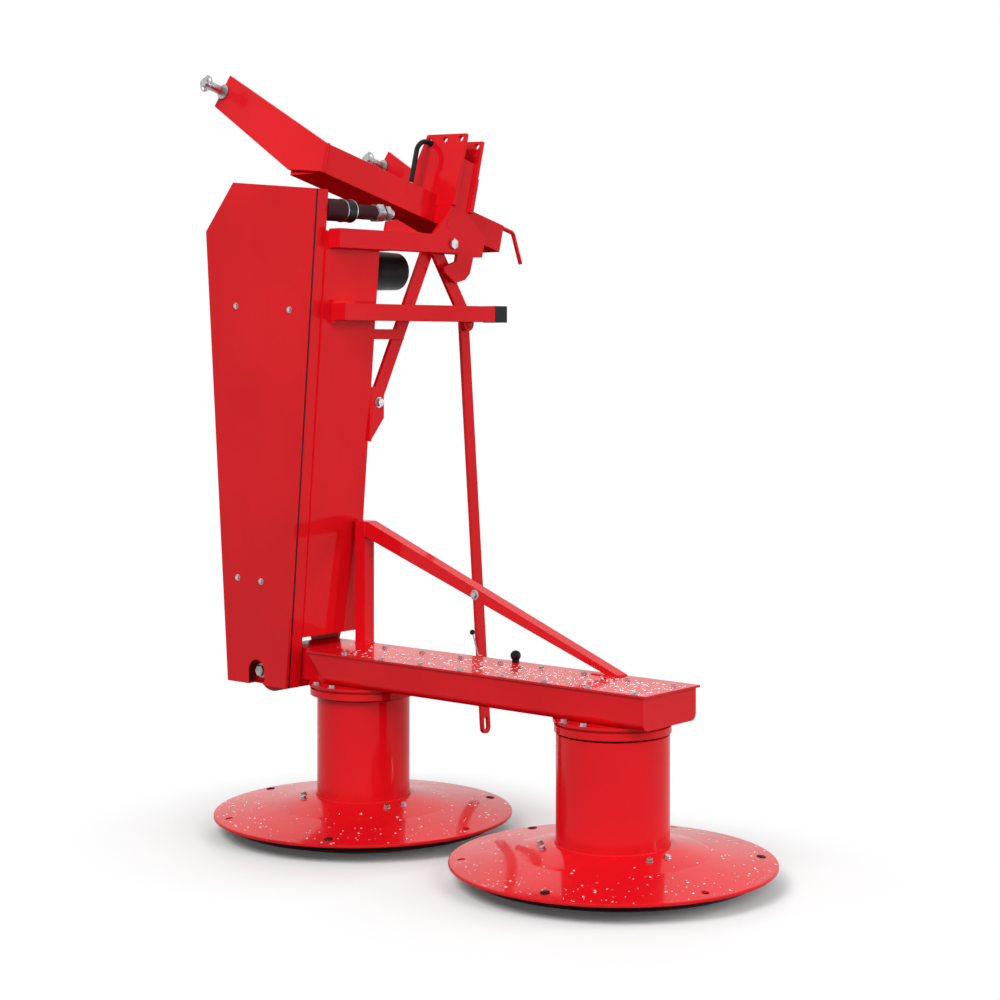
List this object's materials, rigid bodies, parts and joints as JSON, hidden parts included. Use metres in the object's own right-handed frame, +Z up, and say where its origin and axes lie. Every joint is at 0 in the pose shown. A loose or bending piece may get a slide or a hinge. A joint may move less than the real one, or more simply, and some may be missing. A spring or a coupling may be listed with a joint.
{
  "type": "drum mower",
  "caption": "Tractor-mounted drum mower: a gear beam over counter-turning drums with dished discs and skid bowls, a belt-drive arm folded upright and a three-point hitch frame.",
  "frame": {"origin": "on the ground under the middle of the whole mower's box", "axes": "+X outward along the cutter bar, +Y the direction of travel, +Z up"},
  "size_m": [2.0296, 1.3324, 2.2861],
  "materials": {
    "red_paint": "gloss red enamel",
    "black_plastic": "moulded black plastic",
    "hose_rubber": "black hydraulic hose",
    "zinc_plate": "zinc plate",
    "skid_steel": "dark paint on pressed steel",
    "knife_steel": "hardened steel",
    "rain_water": "clear rainwater",
    "bare_shaft": "greased splined steel"
  },
  "bodies": {
    "cutter_bar": {"gear_case": "red_paint", "gear_case_lid": "red_paint", "bevel_housing": "red_paint", "bearing_neck_inner": "red_paint", "bearing_neck_outer": "red_paint", "frame_post": "red_paint", "frame_diagonal": "red_paint", "breather": "black_plastic"},
    "drum_inner": {"drum_inner": "red_paint", "disc_inner": "red_paint", "knives_inner": "knife_steel"},
    "drum_outer": {"drum_outer": "red_paint", "disc_outer": "red_paint", "knives_outer": "knife_steel"},
    "skid_inner": {"skid_inner": "skid_steel"},
    "skid_outer": {"skid_outer": "skid_steel"},
    "arm": {"belt_guard": "red_paint", "belt_back_plate": "red_paint", "arm_box": "red_paint", "rear_lug": "red_paint", "input_shaft": "bare_shaft", "input_guard": "black_plastic", "head_bar": "red_paint", "pivot_bolt": "zinc_plate", "lift_lever": "red_paint", "brace": "red_paint", "brace_bracket": "red_paint", "cross_bar": "red_paint", "support_seat": "red_paint", "support_tube": "red_paint", "support_cap": "black_plastic", "spring_tube": "red_paint", "spring_bolt": "zinc_plate", "bar_gusset": "red_paint"},
    "lift_rod": {"lift_rod": "red_paint"},
    "hitch": {"hitch_frame": "red_paint", "link_arm_left": "red_paint", "link_arm_right": "red_paint", "lower_pin_left": "zinc_plate", "lower_pin_right": "zinc_plate", "mast_plate_near": "red_paint", "mast_plate_far": "red_paint", "pivot_plate": "red_paint", "lock_rod": "red_paint", "hose": "hose_rubber"}
  },
  "joints": [
    {"name": "drum_inner_spin", "type": "hinge", "parent": "cutter_bar", "child": "drum_inner", "pos_m": [-0.35025, -0.22616, 0.437], "axis": [0, 0, 1], "continuous": true},
    {"name": "drum_outer_spin", "type": "hinge", "parent": "cutter_bar", "child": "drum_outer", "pos_m": [0.57475, -0.22616, 0.437], "axis": [0, 0, 1], "continuous": true},
    {"name": "skid_inner_spin", "type": "hinge", "parent": "drum_inner", "child": "skid_inner", "pos_m": [-0.35025, -0.22616, 0.006], "axis": [0, 0, 1], "continuous": true},
    {"name": "skid_outer_spin", "type": "hinge", "parent": "drum_outer", "child": "skid_outer", "pos_m": [0.57475, -0.22616, 0.006], "axis": [0, 0, 1], "continuous": true},
    {"name": "arm_fold", "type": "hinge", "parent": "cutter_bar", "child": "arm", "pos_m": [-0.64525, -0.22616, 0.455], "axis": [0, -1, 0], "range_deg": [0, 90]},
    {"name": "hitch_swing", "type": "hinge", "parent": "arm", "child": "hitch", "pos_m": [-0.47525, 0.18584, 1.747], "axis": [-1, 0, 0], "range_deg": [0, 75]},
    {"name": "lift_rod_swing", "type": "hinge", "parent": "arm", "child": "lift_rod", "pos_m": [-0.46925, 0.35084, 1.5], "axis": [1, 0, 0], "range_deg": [-20, 20]}
  ],
  "couplings": [
    {"joint": "drum_outer_spin", "follows": "drum_inner_spin", "ratio": -1}
  ]
}
